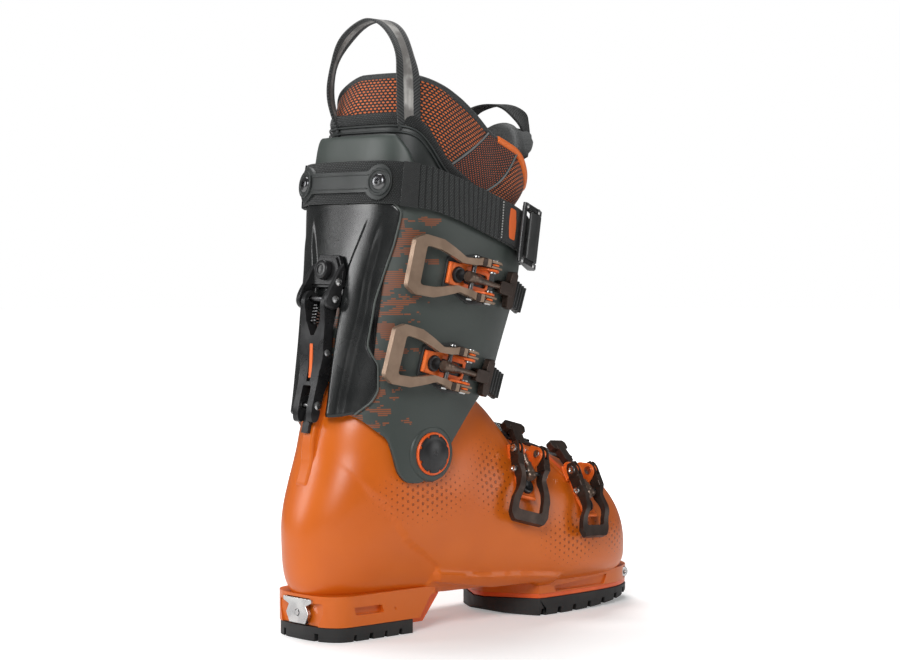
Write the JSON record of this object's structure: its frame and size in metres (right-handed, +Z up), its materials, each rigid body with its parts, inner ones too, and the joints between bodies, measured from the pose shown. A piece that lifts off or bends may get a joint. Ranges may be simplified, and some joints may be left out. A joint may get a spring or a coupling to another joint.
{
  "type": "alpine touring boot",
  "caption": "Alpine touring ski boot, right foot: hinged cuff, walk lever, buckles with toothed ladders, strap, liner, sole blocks and binding inserts.",
  "frame": {"origin": "on the ground under the middle of the heel tread", "axes": "+X from heel to toe, +Z up, -Y the lateral (outer) side of a right boot"},
  "size_m": [0.3071, 0.1389, 0.4218],
  "materials": {
    "black_gloss": "semi-gloss",
    "bright_orange": "satin",
    "bronze": "satin metallic",
    "bronze_dark": "satin metallic",
    "grey": "satin",
    "liner_dark": "matte",
    "liner_mesh": "mesh",
    "orange": "satin",
    "orange_metal": "satin",
    "rubber": "matte",
    "steel": "brushed",
    "webbing": "woven"
  },
  "bodies": {
    "lower_boot": {"heel_sole": "rubber", "toe_sole_plate": "bright_orange", "toe_sole": "rubber", "heel_tech_insert": "steel", "heel_insert_screw": "steel", "toe_tech_insert": "steel", "lower_shell": "orange", "boot_board": "liner_dark", "liner_lower": "liner_dark", "walk_anchor": "black_gloss", "instep_bracket": "orange_metal", "instep_base_rivet": "black_gloss", "instep_ladder": "black_gloss", "instep_pivot_a": "steel", "instep_pivot_b": "steel", "toe_bracket": "orange_metal", "toe_base_rivet": "black_gloss", "toe_ladder": "black_gloss", "toe_pivot_a": "steel", "toe_pivot_b": "steel"},
    "cuff_unit": {"cuff": "grey", "cuff_spine": "black_gloss", "pivot_ring_lateral": "orange", "pivot_ring_medial": "orange", "pivot_rivet_lateral": "grey", "pivot_rivet_medial": "grey", "liner_upper": "liner_mesh", "liner_tongue": "liner_dark", "liner_pull_loop": "webbing", "tongue_pull_loop": "webbing", "power_strap": "webbing", "strap_yoke": "grey", "strap_rivet_lateral": "steel", "strap_rivet_medial": "steel", "cam_frame": "black_gloss", "walk_bracket": "black_gloss", "walk_stud": "black_gloss", "walk_lever_pin": "steel", "upper_cuff_bracket": "orange_metal", "upper_cuff_base_rivet": "black_gloss", "upper_cuff_ladder": "black_gloss", "upper_cuff_pivot_a": "steel", "upper_cuff_pivot_b": "steel", "lower_cuff_bracket": "orange_metal", "lower_cuff_base_rivet": "black_gloss", "lower_cuff_ladder": "black_gloss", "lower_cuff_pivot_a": "steel", "lower_cuff_pivot_b": "steel"},
    "walk_lever_unit": {"walk_lever": "black_gloss", "walk_catch_pin": "steel", "walk_spring": "steel"},
    "cam_lever_unit": {"cam_lever": "black_gloss"},
    "upper_cuff_lever_unit": {"upper_cuff_lever": "bronze"},
    "upper_cuff_bail_unit": {"upper_cuff_bail": "bronze_dark"},
    "lower_cuff_lever_unit": {"lower_cuff_lever": "bronze"},
    "lower_cuff_bail_unit": {"lower_cuff_bail": "bronze_dark"},
    "instep_lever_unit": {"instep_lever": "bronze_dark"},
    "instep_bail_unit": {"instep_bail": "bronze_dark"},
    "toe_lever_unit": {"toe_lever": "bronze_dark"},
    "toe_bail_unit": {"toe_bail": "bronze_dark"}
  },
  "joints": [
    {"name": "cuff_pivot", "type": "hinge", "parent": "lower_boot", "child": "cuff_unit", "pos_m": [0.036, 0, 0.124], "axis": [0, 1, 0], "range_deg": [-12, 16]},
    {"name": "walk_lever_pivot", "type": "hinge", "parent": "cuff_unit", "child": "walk_lever_unit", "pos_m": [-0.0205, 0, 0.229], "axis": [0, 1, 0], "range_deg": [0, 95]},
    {"name": "cam_lever_pivot", "type": "hinge", "parent": "cuff_unit", "child": "cam_lever_unit", "pos_m": [0.13024, -0.05333, 0.27245], "axis": [0.2299, 0.0857, 0.9694], "range_deg": [0, 70]},
    {"name": "upper_cuff_lever_pivot", "type": "hinge", "parent": "cuff_unit", "child": "upper_cuff_lever_unit", "pos_m": [0.0722, -0.06994, 0.24004], "axis": [0.2079, -0.0549, 0.9766], "range_deg": [0, 110]},
    {"name": "upper_cuff_bail_trunnion", "type": "hinge", "parent": "upper_cuff_lever_unit", "child": "upper_cuff_bail_unit", "pos_m": [0.05753, -0.06782, 0.24328], "axis": [0.2079, -0.0549, 0.9766], "range_deg": [-135, 0]},
    {"name": "lower_cuff_lever_pivot", "type": "hinge", "parent": "cuff_unit", "child": "lower_cuff_lever_unit", "pos_m": [0.05525, -0.06403, 0.17973], "axis": [0.2241, -0.0913, 0.9703], "range_deg": [0, 110]},
    {"name": "lower_cuff_bail_trunnion", "type": "hinge", "parent": "lower_cuff_lever_unit", "child": "lower_cuff_bail_unit", "pos_m": [0.04065, -0.06191, 0.1833], "axis": [0.2241, -0.0913, 0.9703], "range_deg": [-135, 0]},
    {"name": "instep_lever_pivot", "type": "hinge", "parent": "lower_boot", "child": "instep_lever_unit", "pos_m": [0.13284, -0.04581, 0.11911], "axis": [-0.9639, 0.0832, 0.2529], "range_deg": [0, 110]},
    {"name": "instep_bail_trunnion", "type": "hinge", "parent": "instep_lever_unit", "child": "instep_bail_unit", "pos_m": [0.1288, -0.05001, 0.1051], "axis": [-0.9639, 0.0832, 0.2529], "range_deg": [-135, 0]},
    {"name": "toe_lever_pivot", "type": "hinge", "parent": "lower_boot", "child": "toe_lever_unit", "pos_m": [0.18658, -0.04602, 0.10279], "axis": [-0.9777, -0.1947, 0.0791], "range_deg": [0, 110]},
    {"name": "toe_bail_trunnion", "type": "hinge", "parent": "toe_lever_unit", "child": "toe_bail_unit", "pos_m": [0.1864, -0.05095, 0.08844], "axis": [-0.9777, -0.1947, 0.0791], "range_deg": [-135, 0]}
  ],
  "couplings": [
    {"joint": "upper_cuff_bail_trunnion", "follows": "upper_cuff_lever_pivot", "ratio": -1.2},
    {"joint": "lower_cuff_bail_trunnion", "follows": "lower_cuff_lever_pivot", "ratio": -1.2},
    {"joint": "instep_bail_trunnion", "follows": "instep_lever_pivot", "ratio": -1.2},
    {"joint": "toe_bail_trunnion", "follows": "toe_lever_pivot", "ratio": -1.2}
  ]
}
